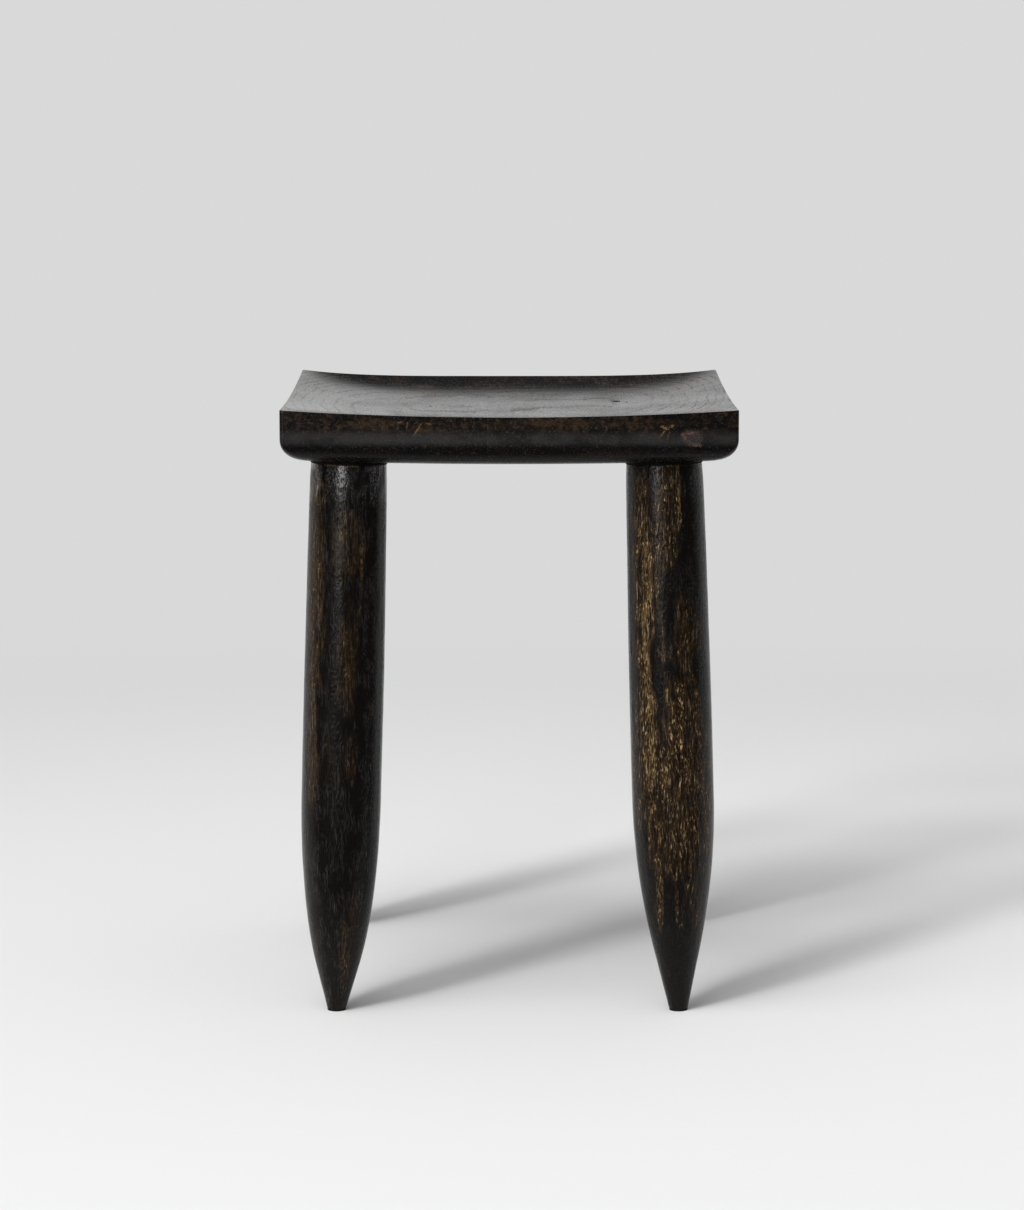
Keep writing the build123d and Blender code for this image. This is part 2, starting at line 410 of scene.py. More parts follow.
def carve(mesh):
    """Leaves the slight waves and dents of hand work, cut into the surface and never standing
    out. On all but the top they are shallow."""
    top_slope, shallow = 0.7, 0.1
    co, normal = vertex_rows(mesh, "co"), vertex_rows(mesh, "normal")
    depth = 0.0
    for layer, (*grain, half_depth) in enumerate(SEAT_DENTS):
        noise = smooth_noise(co, mm(*grain), SEAT_DENTS_SEED + layer)
        depth = depth + half_depth * (noise + 1)
    depth = depth * MM * np.where(normal[:, 2] > top_slope, 1.0, shallow)
    co = co - normal * depth[:, None]
    mesh.vertices.foreach_set("co", co.ravel())
    mesh.update()


def part_board(seat_mesh, name, low_x, high_x):
    """Cuts one board out of the seat, with its glued edges eased a little."""
    gap = 0.01 * MM
    ease_width = 0.6 * MM
    ease_depth = 0.05 * MM
    board = bmesh.new()
    board.from_mesh(seat_mesh)
    cuts = [(low_x, 1), (high_x, -1)]
    for x, inward in cuts:
        on_glue_line = abs(x) < HALF_WIDTH - MM
        if not on_glue_line:
            continue
        # the first cut takes the rest of the seat away, the second marks where the easing begins
        for offset, clear in ((gap, True), (gap + ease_width, False)):
            geometry = board.verts[:] + board.edges[:] + board.faces[:]
            at = x + inward * offset
            bmesh.ops.bisect_plane(
                board,
                geom=geometry,
                plane_co=(at, 0, 0),
                plane_no=(-inward, 0, 0),
                clear_outer=clear,
            )
        edge_x = x + inward * gap
        tolerance = 1e-6
        rim = [vertex for vertex in board.verts if abs(vertex.co.x - edge_x) < tolerance]
        board.normal_update()
        for vertex in rim:
            away = Vector((0, vertex.normal.y, vertex.normal.z)).normalized()
            vertex.co -= away * ease_depth
        rim_edges = [edge for edge in board.edges if edge.is_boundary]
        bmesh.ops.contextual_create(board, geom=rim_edges)
    bmesh.ops.recalc_face_normals(board, faces=board.faces[:])
    mesh = bpy.data.meshes.new(name)
    board.to_mesh(mesh)
    board.free()
    return mesh


def apply_boolean(obj, tool, operation):
    """Joins the tool to the object or cuts it out, and removes the tool."""
    modifier = obj.modifiers.new("cut", "BOOLEAN")
    modifier.object = tool
    modifier.operation = operation
    modifier.solver = "EXACT"
    evaluated = obj.evaluated_get(bpy.context.evaluated_depsgraph_get())
    result = bpy.data.meshes.new_from_object(evaluated)
    obj.modifiers.clear()
    obj.data = result
    bpy.data.objects.remove(tool)


def close_cracks(mesh):
    """Closes the hairline cracks that the cuts can leave."""
    crack = 0.004 * MM
    closed = bmesh.new()
    closed.from_mesh(mesh)
    bmesh.ops.remove_doubles(closed, verts=closed.verts[:], dist=crack)
    open_edges = [edge for edge in closed.edges if edge.is_boundary]
    bmesh.ops.holes_fill(closed, edges=open_edges)
    closed.to_mesh(mesh)
    closed.free()


def make_boards(leg_places):
    """The four boards with their bosses, from left to right."""
    seat_mesh = make_seat_mesh()
    limits = [-HALF_WIDTH, *GLUE_LINES, HALF_WIDTH]
    boards = []
    for name, low_x, high_x in zip(BOARD_NAMES, limits, limits[1:]):
        piece = make_object(f"wood_{name}", part_board(seat_mesh, name, low_x, high_x))
        for place in leg_places:
            if low_x < place.washer.x < high_x:
                add_boss(piece, place)
        close_cracks(piece.data)
        shade(piece.data)
        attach(piece, "root")
        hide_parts(name)
        boards.append(piece)
    bpy.data.meshes.remove(seat_mesh)
    return boards


def add_boss(piece, place):
    """The low round boss above a washer, which runs up into the board, with the insert's bore."""
    base = place.washer + place.up * (WASHER_THICKNESS / 2)
    arris = 0.6 * MM
    height = 12 * MM
    below = -MM  # the bore is cut from a little below the boss's face
    radius = LEG_TOP_RADIUS
    turns = np.linspace(0, math.pi / 2, 4)
    foot = [(radius - arris * (1 - math.sin(t)), arris * (1 - math.cos(t))) for t in turns]
    boss = [(0, 0), *foot, (radius, 2 * arris), (radius, height), (0, height)]
    bore = [
        (0, below),
        (INSERT_BORE_RADIUS, below),
        (INSERT_BORE_RADIUS, INSERT_BORE_DEPTH),
        (0, INSERT_BORE_DEPTH),
    ]
    steps = (("boss", boss, 96, "UNION"), ("bore", bore, 48, "DIFFERENCE"))
    for name, profile, columns, operation in steps:
        tool = make_object(name, lathe(name, base, place.up, profile, columns))
        apply_boolean(piece, tool, operation)


# ---- Material nodes ----


class Nodes:
    """Short names for the nodes that the materials and the world share. position is where a point
    lies, in the coordinates that are named."""

    def __init__(self, owner, coordinates):
        owner.use_nodes = True
        self.owner = owner
        self.tree = owner.node_tree
        self.position = self.node("ShaderNodeTexCoord").outputs[coordinates]

    def node(self, kind, settings=None, inputs=None):
        """A new node; a value for an input can be another node's output."""
        made = self.tree.nodes.new(kind)
        for key, value in (settings or {}).items():
            setattr(made, key, value)
        for key, value in (inputs or {}).items():
            self.set(made.inputs[key], value)
        return made

    def set(self, socket, value):
        if isinstance(value, bpy.types.NodeSocket):
            self.tree.links.new(value, socket)
        else:
            socket.default_value = value

    def stretch(self, vector, scale, shift=(0, 0, 0)):
        inputs = {"Vector": vector, "Scale": scale, "Location": shift}
        return self.node("ShaderNodeMapping", inputs=inputs).outputs["Vector"]

    def noise_node(self, size, seed=0.0, detail=3.0, roughness=0.55, vector=None):
        """Noise whose grain has this size in metres, one number per axis. Each seed shifts it."""
        scale = [1 / length for length in size]
        shift = (seed * 3.7, seed * 5.3, seed * 7.1)
        where = self.stretch(vector or self.position, scale, shift)
        inputs = {"Vector": where, "Scale": 1.0, "Detail": detail, "Roughness": roughness}
        return self.node("ShaderNodeTexNoise", inputs=inputs)

    def noise(self, *arguments, **options):
        return self.noise_node(*arguments, **options).outputs["Fac"]

    def sway(self, size, reach, seed=0.0, vector=None):
        """The vector, moved about by up to half the reach, so that straight grain runs wavy."""
        noise = self.noise_node(size, seed, detail=2).outputs["Color"]
        away = self.vector_math("SUBTRACT", noise, (0.5, 0.5, 0.5)).outputs[0]
        reaches = (reach, reach, reach)
        moved = self.vector_math("MULTIPLY_ADD", away, reaches, vector or self.position)
        return moved.outputs[0]

    def vector_math(self, operation, *vectors):
        inputs = dict(enumerate(vectors))
        return self.node("ShaderNodeVectorMath", {"operation": operation}, inputs)

    def math(self, operation, a, b=0.0, clamp=False):
        settings = {"operation": operation, "use_clamp": clamp}
        return self.node("ShaderNodeMath", settings, {0: a, 1: b}).outputs[0]

    def multiply(self, first, *others):
        for other in others:
            first = self.math("MULTIPLY", first, other)
        return first

    def add(self, first, *others):
        for other in others:
            first = self.math("ADD", first, other)
        return first

    def span(self, value, low, high, to_low=0.0, to_high=1.0):
        """Maps low..high to to_low..to_high along a smooth curve, and holds the ends."""
        inputs = {
            "Value": value,
            "From Min": low,
            "From Max": high,
            "To Min": to_low,
            "To Max": to_high,
        }
        settings = {"interpolation_type": "SMOOTHSTEP"}
        return self.node("ShaderNodeMapRange", settings, inputs).outputs["Result"]

    def mix(self, share, a, b, data_type="RGBA"):
        """Colour, or number for FLOAT, a at share 0 and b at share 1."""
        inputs = {"Factor": share, "A": a, "B": b}
        return self.node("ShaderNodeMix", {"data_type": data_type}, inputs).outputs["Result"]

    def axes(self, vector=None):
        parts = self.node("ShaderNodeSeparateXYZ", inputs={"Vector": vector or self.position})
        return parts.outputs["X"], parts.outputs["Y"], parts.outputs["Z"]

    def dot(self, vector, direction):
        return self.vector_math("DOT_PRODUCT", vector, direction).outputs["Value"]

    def distance(self, vector, place):
        return self.vector_math("DISTANCE", vector, place).outputs["Value"]

    def rings(self, distance, width):
        """1 on the thin dark line that ends each growth ring, 0 between."""
        wave = self.math("SINE", self.math("MULTIPLY", distance, 2 * math.pi / width))
        line_start = 0.55
        return self.span(wave, line_start, 1.0)

    def bump(self, height, distance):
        inputs = {"Height": height, "Distance": distance, "Strength": 1.0}
        return self.node("ShaderNodeBump", inputs=inputs).outputs["Normal"]


def new_material(name):
    """Nodes of a new material, laid out in the row's frame, and its shader."""
    n = Nodes(bpy.data.materials.new(name), "Object")
    n.shader = n.tree.nodes["Principled BSDF"]
    return n


class Marks:
    """Soft-edged patches on a face, placed by two lengths: across the face, and up."""

    def __init__(self, n, across, up, ragged_size, seed, raggedness=1.6):
        self.n = n
        self.where = n.node("ShaderNodeCombineXYZ", inputs={"X": across, "Y": up}).outputs[0]
        ragged = n.noise(ragged_size, seed, detail=4, roughness=0.65)
        self.ragged = n.math("MULTIPLY", n.math("SUBTRACT", ragged, 0.5), raggedness)

    def patch(self, mark):
        """The mark's strength inside its ellipse and 0 outside, with a ragged edge. mark is its
        place and half size in millimetres, its turn in degrees and its strength."""
        across, up, half_width, half_height, turn, strength = mark
        inputs = {
            "Vector": self.where,
            "Location": (across * MM, up * MM, 0),
            "Rotation": (0, 0, math.radians(turn)),
            "Scale": (half_width * MM, half_height * MM, 1),
        }
        inside = self.n.node("ShaderNodeMapping", {"vector_type": "TEXTURE"}, inputs)
        length = self.n.vector_math("LENGTH", inside.outputs[0]).outputs["Value"]
        full, gone = 0.6, 1.25  # in half sizes from the ellipse's middle
        return self.n.span(self.n.math("ADD", length, self.ragged), full, gone, strength, 0.0)

    def all(self, marks):
        return self.n.add(0.0, *(self.patch(mark) for mark in marks))


def grey(level):
    return (level, level, level, 1)


BLACK_STAIN = (0.0036, 0.0031, 0.0030, 1)
SEAT_BROWN = (0.034, 0.0200, 0.0105, 1)
SEAT_GOLD = (0.135, 0.078, 0.030, 1)
SEAT_SCRATCHED = (0.22, 0.130, 0.050, 1)
SEAT_RED = (0.23, 0.140, 0.112, 1)
# painted highlight: the floor's reflection in the band where the seat's front turns under
SEAT_PAINTED_REFLECTION = (0.033, 0.0315, 0.031, 1)
SEAT_SPECKLES = (0.052, 0.046, 0.041, 1)
LEG_BROWN = (0.042, 0.0235, 0.0090, 1)
LEG_DEEP_GOLD = (0.120, 0.073, 0.031, 1)
LEG_PALE_GOLD = (0.58, 0.42, 0.21, 1)
# grey of the legs' fibres and of a painted sheen on their lower part
LEG_GREY_AND_SHEEN = (0.042, 0.0365, 0.033, 1)


def ebonised(n, brown_share, brown, gold_share, gold):
    """Black stain over wood: brown where it is thin and golden where it is rubbed through."""
    stained = n.mix(brown_share, BLACK_STAIN, brown)
    return n.mix(gold_share, stained, gold)


def finish_wood(n, colour, roughness, relief, relief_depth, specular_level):
    """A thin waxed skin: dim straight on, bright where it is seen at a low angle."""
    n.set(n.shader.inputs["Base Color"], colour)
    n.set(n.shader.inputs["Roughness"], roughness)
    n.set(n.shader.inputs["Specular IOR Level"], specular_level)
    uneven = n.bump(relief, relief_depth)
    n.set(n.shader.inputs["Normal"], uneven)
    n.set(n.shader.inputs["Coat Normal"], uneven)
    return n.owner


class Board:
    """How one seat board differs from the others: the middle of its growth rings (across from the
    seat's middle and height, in mm), the slope of its growth layers, its tone and its seed."""

    def __init__(self, name, heart, slope, tone, seed):
        self.name = name
        self.heart = (heart[0] * MM, 0, heart[1] * MM)
        self.layer_slope = (*slope, 1)
        self.tone = tone
        self.seed = seed


BOARDS = [
    Board("left", (-128, 402), (0.030, 0.010), 0.80, 1),
    Board("mid_left", (-26, 441), (0.012, -0.014), 1.00, 2),
    Board("mid_right", (40.5, 440), (-0.016, 0.012), 1.15, 3),
    Board("right", (131, 440), (-0.026, -0.010), 1.00, 4),
]

# Marks on the seat's front face: across from the middle, height, half width and half height in mm,
# turn in degrees, and strength
RUBBED_MARKS = [
    (-104, 451, 22, 3.6, 2, 1.0),
    (-60, 447, 13, 4.0, -6, 0.5),
    (24, 450, 62, 4.2, 0, 0.45),
    (54, 452, 16, 2.6, 0, 0.5),
    (104, 451, 32, 3.6, 0, 0.4),
    (70, 428, 30, 3.0, 4, 0.35),
]
SCRATCH_MARKS = [
    (-75.5, 449, 0.7, 3.2, -6, 0.7),
    (-68.5, 445.5, 0.8, 6.5, -33, 1.0),
    (-66.5, 442, 0.6, 3.0, -22, 0.6),
    (-60, 451, 2.6, 0.6, -16, 0.7),
    (-80, 452, 3.0, 0.7, 6, 0.6),
    (113, 443, 0.8, 5.2, -38, 1.2),
    (117.5, 441.5, 0.6, 4.0, -20, 0.7),
    (115, 448, 3.4, 1.2, -24, 1.2),
    (120, 449, 2.2, 1.0, 24, 1.2),
]
RED_MARKS = [
    (135, 440.5, 8.0, 6.0, -10, 0.6),
    (129.5, 441, 1.4, 4.0, 24, 0.9),
    (133, 437.5, 2.2, 1.4, -30, 0.8),
    (138, 435.5, 4.6, 1.5, -10, 0.9),
    (135, 443.5, 3.4, 1.0, 8, 0.6),
]

# Rough spots in the dish: across and back from the middle, half width and half depth in mm, turn
# in degrees, and roughness
ROUGH_MARKS = [
    (85, 49, 2.4, 5.5, 20, 0.5),
    (93, 40, 1.2, 3.0, -10, 0.3),
    (-62, 20, 1.0, 4.0, 12, 0.25),
]


def seat_wood(board):
    """An ebonised board, grain from front to rear, rubbed brown along the upper edge."""
    n = new_material(f"seat_ebonised_wood_{board.name}")
    seed = board.seed
    swayed = n.sway(mm(50, 90, 30), 5 * MM, seed)
    fibre = n.noise(mm(1.1, 34, 1.1), seed, 3, 0.6, swayed)
    pores = n.noise(mm(0.9, 9, 0.9), seed + 1, 2, 0.6, swayed)
    patches = n.noise(mm(40, 60, 26), seed, 4, 0.6)
    mottle = n.noise(mm(4.2, 20, 3.4), seed, 4, 0.7)
    dust = n.noise(mm(1.3, 1.6, 1.3), seed, 2, 0.6)
    across, depth, height = n.axes()
    on_end = n.span(depth, -0.1672, -0.1655, 1.0, 0.0)
    upper = n.span(height, 0.4335, 0.4475)

    # growth rings about the board's heart, seen on its end
    end_rings = n.rings(n.distance(n.stretch(swayed, (1, 0.03, 1)), board.heart), 3.6 * MM)
    # the nearly level growth layers, which the bowl cuts through in long curved lines
    settled = n.sway(mm(60, 110, 40), 2.0 * MM, seed)
    layers = n.rings(n.dot(settled, board.layer_slope), 1.3 * MM)
    layers = n.multiply(layers, n.span(fibre, 0.34, 0.56), n.span(patches, 0.40, 0.60, 0.35, 1.0))

    # stain worn brown: in patches, most along the upper edge, and where the front is rubbed
    brown_share = n.multiply(n.span(patches, 0.38, 0.60), n.span(mottle, 0.42, 0.60), board.tone)
    brown_share = n.multiply(brown_share, n.span(upper, 0, 1, 0.12, 0.9))
    marks = Marks(n, across, height, mm(7, 7, 3), seed)
    rubbed = n.multiply(marks.all(RUBBED_MARKS), on_end, n.span(mottle, 0.3, 0.62, 0.3, 1.0))
    brown_share = n.math("ADD", brown_share, rubbed, clamp=True)
    brown_share = n.multiply(brown_share, n.span(end_rings, 0, 1, 1.0, 0.6))
    worn = n.multiply(n.span(mottle, 0.56, 0.74), n.span(patches, 0.42, 0.62), upper, 0.3)
    colour = ebonised(n, brown_share, SEAT_BROWN, worn, SEAT_GOLD)

    # scratches and the red patch, broken up by the front's grain
    scratches = Marks(n, across, height, mm(1.6, 1.6, 1.6), seed, 1.1)
    broken = n.multiply(on_end, n.span(dust, 0.40, 0.58, 0.12, 0.85))
    scratched = n.math("MULTIPLY", scratches.all(SCRATCH_MARKS), broken, clamp=True)
    colour = n.mix(scratched, colour, SEAT_SCRATCHED)
    colour = n.mix(n.multiply(scratches.all(RED_MARKS), broken), colour, SEAT_RED)

    # a painted highlight: a greyish band where the front turns under, standing for the floor's
    # reflection; and pale speckles all over
    turning_under = n.multiply(
        n.span(height, 0.4325, 0.4380), n.span(height, 0.4400, 0.4480, 1.0, 0.0)
    )
    painted_reflection_band = n.multiply(turning_under, on_end, n.span(patches, 0.36, 0.6, 0.4, 1.0))
    colour = n.mix(painted_reflection_band, colour, SEAT_PAINTED_REFLECTION)
    speckled = n.multiply(n.span(dust, 0.52, 0.70), n.span(mottle, 0.42, 0.6, 0.10, 0.8))
    colour = n.mix(speckled, colour, SEAT_SPECKLES)

    # waxed unevenly: duller in the growth lines, in dust and near the front, glossier to the left
    wear = n.noise(mm(45, 60, 45), detail=4)
    roughness = n.add(
        n.span(wear, 0.3, 0.7, 0.09, 0.17),
        n.multiply(layers, 0.09),
        n.span(dust, 0.46, 0.72, 0, 0.20),
        n.span(depth, -0.158, -0.110, 0.05, 0.0),
        n.span(across, -0.150, -0.040, -0.05, 0.0),
    )
    spots = Marks(n, across, depth, mm(3, 3, 3), seed, 0.6)
    on_top = n.span(height, 0.440, 0.444)
    roughness = n.add(roughness, n.multiply(spots.all(ROUGH_MARKS), on_top))
    relief = n.add(
        n.multiply(fibre, 0.9),
        n.multiply(pores, 0.8),
        n.multiply(layers, -0.9),
        n.multiply(mottle, 0.7),
    )
    return finish_wood(n, colour, roughness, relief, relief_depth=0.05 * MM, specular_level=0.17)


# Marks on the legs, seen from the front: across from the leg's axis, height, half width and half
# height in mm, turn in degrees, and strength. The stain is worn golden at the first ones and has
# stayed black at the others.
LEG_MARKS = {
    "front_left": (
        [
            (-23, 330, 7, 110, 1, 0.5),
            (-20, 395, 6, 10, 0, 0.8),
            (3, 356, 13, 30, 0, 0.4),
            (12.5, 338, 1.6, 34, -1, 1.0),
            (-22, 192, 5, 50, 2, 0.6),
            (7, 190, 5, 22, 0, 0.25),
            (4, 268, 9, 48, 0, 0.3),
            (9, 92, 6, 18, 0, 0.3),
            (5, 50, 5, 26, 2, 0.45),
        ],
        [
            (-20, 395, 2.4, 4.4, 0, 1.6),
            (-2, 402, 16, 16, 0, 0.9),
            (24, 250, 9, 190, 1, 0.9),
            (-2, 128, 24, 50, 0, 0.4),
        ],
    ),
    "front_right": (
        [
            (-18, 300, 8, 130, 0, 0.8),
            (0, 380, 9, 45, 0, 0.9),
            (9, 396, 1.8, 36, 1, 1.7),
            (-17, 264, 2.6, 62, 2, 1.0),
            (0, 186, 30, 78, 0, 0.85),
            (-12, 330, 6, 60, 4, 0.6),
            (14, 290, 14, 30, 0, 0.35),
            (0, 92, 1.4, 26, 0, 1.2),
            (-12, 88, 2.6, 28, -2, 0.6),
            (9, 76, 9, 26, 0, 0.25),
        ],
        [(21, 372, 8, 50, 1, 0.95), (-11, 252, 5, 46, 1, 1.0), (0, 22, 24, 46, 0, 0.9)],
    ),
    "rear_left": (
        [(8, 300, 10, 100, 2, 0.7), (-14, 190, 9, 80, 0, 0.7), (16, 90, 7, 60, 0, 0.5)],
        [(-12, 340, 10, 60, 0, 0.8), (4, 180, 7, 70, 0, 0.6)],
    ),
    "rear_right": (
        [(-10, 320, 9, 90, -2, 0.8), (12, 210, 9, 100, 0, 0.6)],
        [(14, 360, 9, 50, 0, 0.8), (-14, 150, 8, 80, 0, 0.8)],
    ),
}

# How strongly the golden flecks show on the legs of each side, and how glossy the legs' tops are
GOLD = {"left": 0.6, "right": 1.0}
POLISH = {"left": 1.0, "right": 0.12}


def leg_wood(place, seed):
    """An ebonised leg with brown and golden flecks along the grain."""
    n = new_material(f"leg_ebonised_wood_{place.name}")
    swayed = n.sway(mm(24, 24, 42), 9 * MM, seed)
    shaken = n.sway(mm(3.5, 3.5, 7), 1.3 * MM, seed, swayed)
    flecks = n.noise(mm(0.9, 0.9, 4.5), seed, 3, 0.65, shaken)
    fibres = n.noise(mm(0.75, 0.75, 15), seed, 3, 0.65, shaken)
    streaks = n.noise(mm(2.8, 2.8, 26), seed, 3, 0.6, shaken)
    pores = n.noise(mm(0.75, 0.75, 2.6), seed + 1, 2, 0.6, shaken)
    bands = n.noise(mm(11, 11, 90), seed, 3, 0.6, swayed)
    clumps = n.noise(mm(7, 7, 20), seed, 3, 0.6, swayed)
    mottle = n.noise(mm(2.8, 2.8, 3.8), seed, 2, 0.6)
    # short flecks in some places and long fibres in others
    long_share = n.span(clumps, 0.40, 0.60)
    grain = n.add(
        n.multiply(fibres, long_share), n.multiply(flecks, n.math("SUBTRACT", 1.0, long_share))
    )

    # where the stain is worn, from the marks' places on the leaning leg
    from_foot = n.vector_math("SUBTRACT", n.position, place.foot).outputs[0]
    right = Vector((0, 1, 0)).cross(place.up).normalized()
    along = n.dot(from_foot, place.up)
    marks = Marks(n, n.dot(from_foot, right), along, mm(7, 7, 18), seed)
    golden, black = LEG_MARKS[place.name]
    worn = n.add(n.span(bands, 0.42, 0.66, 0.0, 0.4), marks.all(golden))
    worn = n.math("SUBTRACT", worn, marks.all(black))
    bare = n.multiply(n.span(worn, 1.1, 2.0), n.span(fibres, 0.42, 0.56))
    worn = n.span(worn, 0.0, 1.0)

    # brown streaks, golden flecks, and gold along the top edge, partly wear and partly a painted
    # highlight
    fleck = n.multiply(n.span(grain, 0.46, 0.64), n.span(streaks, 0.36, 0.62, 0.15, 1.0))
    brown_share = n.multiply(
        n.span(streaks, 0.30, 0.56, 0.2, 1.0),
        n.span(worn, 0, 0.6, 0.08, 1.0),
        n.span(fibres, 0.42, 0.57, 0.10, 1.0),
    )
    gold_share = n.multiply(fleck, worn, n.span(pores, 0.36, 0.52, 0.45, 1.0), GOLD[place.side])
    # the top edge's gold line: partly worn stain, partly a painted highlight of the arris
    edge_wear_and_highlight = n.span(along, place.length - 2.0 * MM, place.length - 0.9 * MM, 0.0, 0.6)
    edge_wear_and_highlight = n.multiply(edge_wear_and_highlight, n.span(bands, 0.36, 0.56))
    gold_share = n.span(n.add(gold_share, edge_wear_and_highlight, n.multiply(bare, 0.8)), 0.0, 1.0)
    gold = n.mix(n.span(grain, 0.54, 0.68), LEG_DEEP_GOLD, LEG_PALE_GOLD)
    colour = ebonised(n, brown_share, LEG_BROWN, gold_share, gold)
    # greyish fibres, partly a painted grey sheen, fewer on the golden side and up the leg
    low_grey_and_sheen, high_grey_and_sheen = 2.2 - 2 * GOLD[place.side], 1.3 - GOLD[place.side]
    grey_and_sheen_amount = n.span(along, 60 * MM, 230 * MM, low_grey_and_sheen, high_grey_and_sheen)
    grey_fibres_and_sheen = n.multiply(n.span(fibres, 0.48, 0.66), n.span(clumps, 0.44, 0.60), grey_and_sheen_amount)
    colour = n.mix(grey_fibres_and_sheen, colour, LEG_GREY_AND_SHEEN)

    # waxed unevenly, and glossiest near the top
    wear = n.noise(mm(16, 16, 30), seed, 4)
    roughness = n.add(n.span(wear, 0.3, 0.7, 0.12, 0.24), n.span(pores, 0.5, 0.7, 0, 0.10))
    polished = n.span(along, place.length - 34 * MM, place.length - 8 * MM)
    polished = n.multiply(polished, n.span(clumps, 0.40, 0.55), POLISH[place.side])
    roughness = n.multiply(roughness, n.span(polished, 0, 1, 1.0, 0.6))
    n.set(n.shader.inputs["Coat Weight"], polished)
    n.set(n.shader.inputs["Coat Roughness"], 0.09)
    pitted = n.multiply(n.span(pores, 0.54, 0.66), n.span(clumps, 0.46, 0.60), 3.5)
    relief = n.add(n.multiply(grain, 0.7), n.multiply(mottle, 2.4), n.multiply(pores, 0.5), pitted)
    return finish_wood(n, colour, roughness, relief, relief_depth=0.12 * MM, specular_level=0.155)


def matt_black(name, speckle_size, rough):
    """A matt black moulding; rough is the lowest and highest roughness."""
    n = new_material(name)
    speckle = n.noise((speckle_size,) * 3, detail=2)
    n.set(n.shader.inputs["Base Color"], n.mix(speckle, grey(0.002), grey(0.006)))
    n.set(n.shader.inputs["Roughness"], n.span(speckle, 0.3, 0.7, *rough))
    n.set(n.shader.inputs["Specular IOR Level"], 0.12)
    n.set(n.shader.inputs["Normal"], n.bump(speckle, 0.03 * MM))
    return n.owner


def metal(name, dark, light):
    """A dull plated or plain metal, mottled between two colours."""
    n = new_material(name)
    speckle = n.noise((1.7 * MM,) * 3, detail=4)
    n.set(n.shader.inputs["Base Color"], n.mix(speckle, dark, light))
    n.set(n.shader.inputs["Metallic"], 1.0)
    n.set(n.shader.inputs["Roughness"], n.span(speckle, 0.3, 0.7, 0.28, 0.45))
    n.set(n.shader.inputs["Normal"], n.bump(speckle, 0.01 * MM))
    return n.owner


def dress(obj, material):
    """Gives the object this material and no other."""
    obj.data.materials.clear()
    obj.data.materials.append(material)


# ---- Stage: floor, world, light and camera ----

BACKDROP_GREY = 0.694
# middle of the painted pool of light on the floor
PAINTED_LIGHT_CENTRE = (0, -0.70, 0)  # the floor is lightest here, in front of the stool


def make_floor():
    """A pale floor with a painted pool of light, lightest in front of the stool. Far off it shows
    the backdrop's own grey. In reflections and bounced light, and only there, it carries painted
    shade from the stool's front forward."""
    radius = 14.0
    sides = 96
    turns = [2 * math.pi * i / sides for i in range(sides)]
    ring = [(radius * math.cos(turn), radius * math.sin(turn), 0) for turn in turns]
    mesh = bpy.data.meshes.new("floor")
    mesh.from_pydata(ring, [], [list(range(sides))])
    floor = make_object("floor", mesh)
    n = new_material("studio_floor")
    near, middle, dark = grey(0.86), grey(0.69), grey(0.16)
    distance = n.distance(n.position, PAINTED_LIGHT_CENTRE)
    seen = n.node("ShaderNodeLightPath").outputs["Is Camera Ray"]
    # painted pool of light: lightest near the stool's front, fading to the backdrop's grey
    lit = n.mix(n.span(distance, 0.50, 2.30), near, middle)
    # painted shade, for reflections and bounced light only, from the stool's front forward
    front = n.span(n.axes()[1], -0.45, -0.10, 1.0, 0.0)
    unlit_share = n.multiply(front, n.math("SUBTRACT", 1.0, seen))
    n.set(n.shader.inputs["Base Color"], n.mix(unlit_share, lit, dark))
    n.set(n.shader.inputs["Roughness"], 1.0)
    n.set(n.shader.inputs["Specular IOR Level"], 0.0)

    far = n.node("ShaderNodeEmission", inputs={"Color": grey(BACKDROP_GREY)}).outputs[0]
    far_share = n.multiply(n.span(distance, 1.9, 2.5), seen)
    shaders = {0: far_share, 1: n.shader.outputs[0], 2: far}
    surface = n.node("ShaderNodeMixShader", inputs=shaders).outputs[0]
    n.set(n.tree.nodes["Material Output"].inputs["Surface"], surface)
    dress(floor, n.owner)


def make_world():
    """The studio round the stool: a pale backdrop low behind it, dim in front and to the left, and
    pale overhead."""
    world = bpy.data.worlds.new("studio")
    bpy.context.scene.world = world
    n = Nodes(world, "Generated")
    across, depth, height = n.axes()
    surroundings = n.span(across, -0.2, 0.8, 0.05, 0.10)
    backdrop = n.mix(n.span(depth, -0.1, 0.7), surroundings, 0.72, "FLOAT")
    ceiling = n.span(height, 0.45, 0.90, 0.05, 0.68)
    level = n.mix(n.span(height, 0.15, 0.31), backdrop, ceiling, "FLOAT")
    seen = n.node("ShaderNodeLightPath").outputs["Is Camera Ray"]
    background = n.tree.nodes["Background"]
    n.set(background.inputs["Strength"], n.mix(seen, level, BACKDROP_GREY, "FLOAT"))
    n.set(background.inputs["Color"], grey(1.0))


def add_light(name, kind, azimuth, elevation):
    """A light aimed at the stool from azimuth degrees to the left of the front, and the direction
    it is in."""
    lamp = bpy.data.lights.new(name, kind)
    light = bpy.data.objects.new(name, lamp)
    bpy.context.scene.collection.objects.link(light)
    light.visible_camera = False
    turn, rise = math.radians(azimuth), math.radians(elevation)
    towards = Vector(
        (-math.sin(turn) * math.cos(rise), -math.cos(turn) * math.cos(rise), math.sin(rise))
    )
    light.rotation_euler = towards.to_track_quat("Z", "Y").to_euler()
    return light, towards


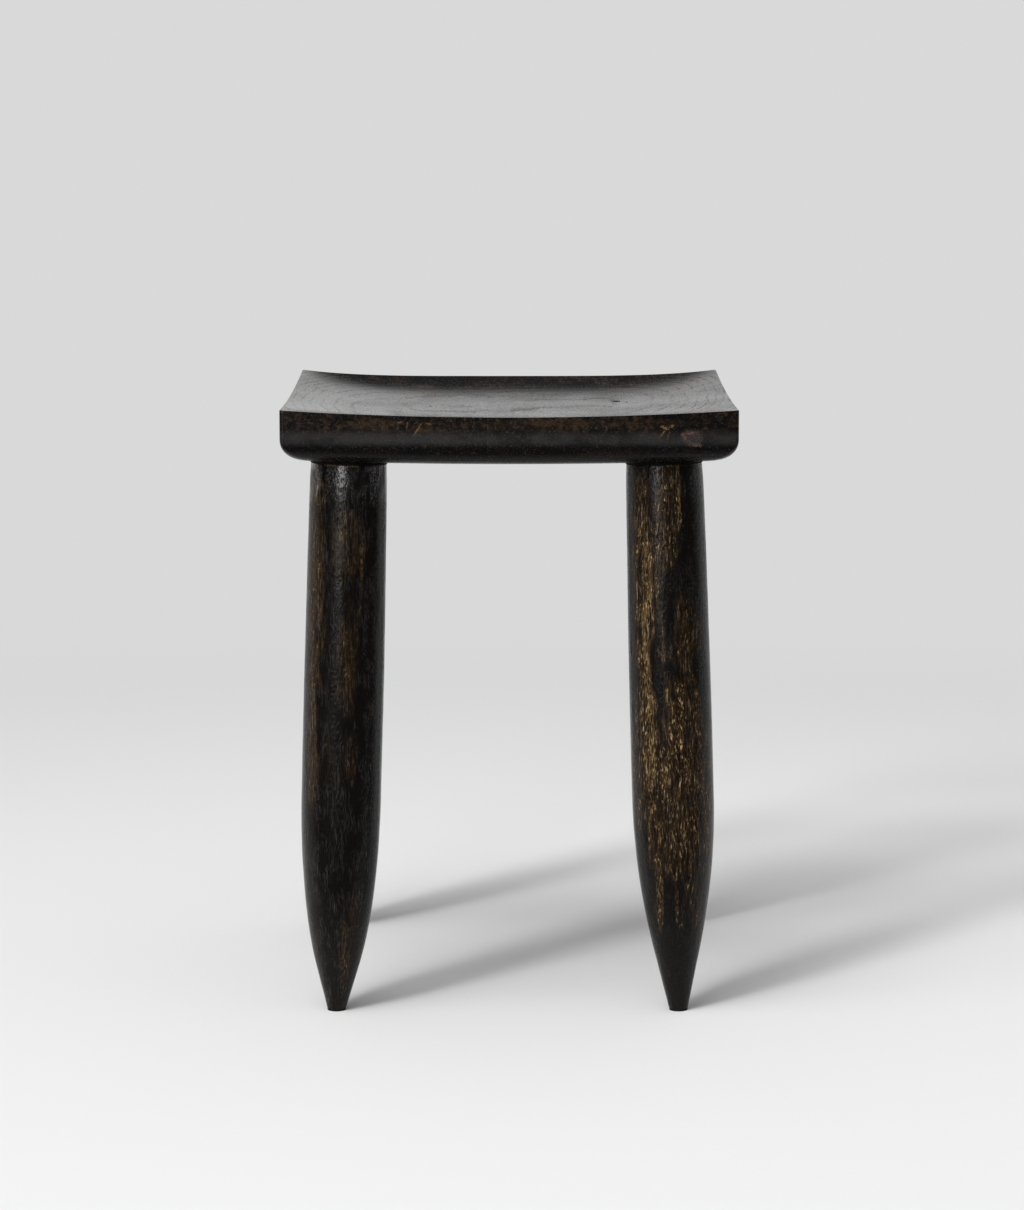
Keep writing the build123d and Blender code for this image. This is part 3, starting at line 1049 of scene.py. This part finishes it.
def make_lights():
    """A tall key light, made of four suns one above another, so that the legs' shadows are narrow
    and the seat's is faint, a low side light, and a dim softbox that the legs reflect."""
    for name, azimuth, elevation, strength, softness in [
        ("key_lowest", 39, 26, 0.62, 9),
        ("key_low", 39, 40, 0.62, 10),
        ("key_middle", 38, 56, 0.42, 14),
        ("key_high", 37, 74, 0.50, 26),
        ("side", 60, 36, 0.45, 34),
    ]:
        light, _ = add_light(name, "SUN", azimuth, elevation)
        light.data.energy = strength
        light.data.angle = math.radians(softness)

    distance, middle_height = 3.0, 0.90
    softbox, towards = add_light("softbox", "AREA", 22, 0)
    softbox.data.shape = "RECTANGLE"
    softbox.data.size, softbox.data.size_y = 0.9, 1.3
    softbox.data.energy = 20
    softbox.location = towards * distance + Vector((0, 0, middle_height))


def make_camera():
    """The photograph's viewpoint: a long lens 3.1 m in front of the stool's middle, looking
    slightly down."""
    distance, height, down_degrees = 3.1089, 0.7532, 8.47
    long_side_px = 1210
    focal_px = 3994
    stool_offset_px = 2.8  # the stool stands this far left of the picture's middle
    data = bpy.data.cameras.new("camera")
    data.sensor_width = 36
    data.lens = focal_px / long_side_px * data.sensor_width
    data.shift_x = stool_offset_px / long_side_px
    camera = bpy.data.objects.new("camera", data)
    camera.location = (0, -distance, height)
    camera.rotation_euler = (math.radians(90 - down_degrees), 0, 0)
    bpy.context.scene.collection.objects.link(camera)
    bpy.context.scene.camera = camera


# ---- Build ----

leg_places = [LegPlace(name) for name in LEG_NAMES]
for piece, board in zip(make_boards(leg_places), BOARDS):
    dress(piece, seat_wood(board))
for number, place in enumerate(leg_places):
    dress(make_leg(place, 20 + 5 * number), leg_wood(place, number + 1))

rubber = matt_black("black_rubber", 1.1 * MM, (0.6, 0.8))
plastic = matt_black("black_plastic", 2.3 * MM, (0.5, 0.62))
steel = metal("zinc_plated_steel", grey(0.45), grey(0.62))
brass = metal("brass", (0.55, 0.40, 0.18, 1), (0.75, 0.58, 0.30, 1))
for name in LEG_NAMES:
    dress(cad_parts[f"leg_washer_{name}"], rubber)
    dress(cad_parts[f"foot_glide_{name}"], plastic)
    dress(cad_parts[f"hanger_bolt_{name}"], steel)
    dress(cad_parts[f"threaded_insert_{name}"], brass)

make_floor()
make_world()
make_lights()
make_camera()
bpy.context.scene.view_settings.view_transform = "Standard"
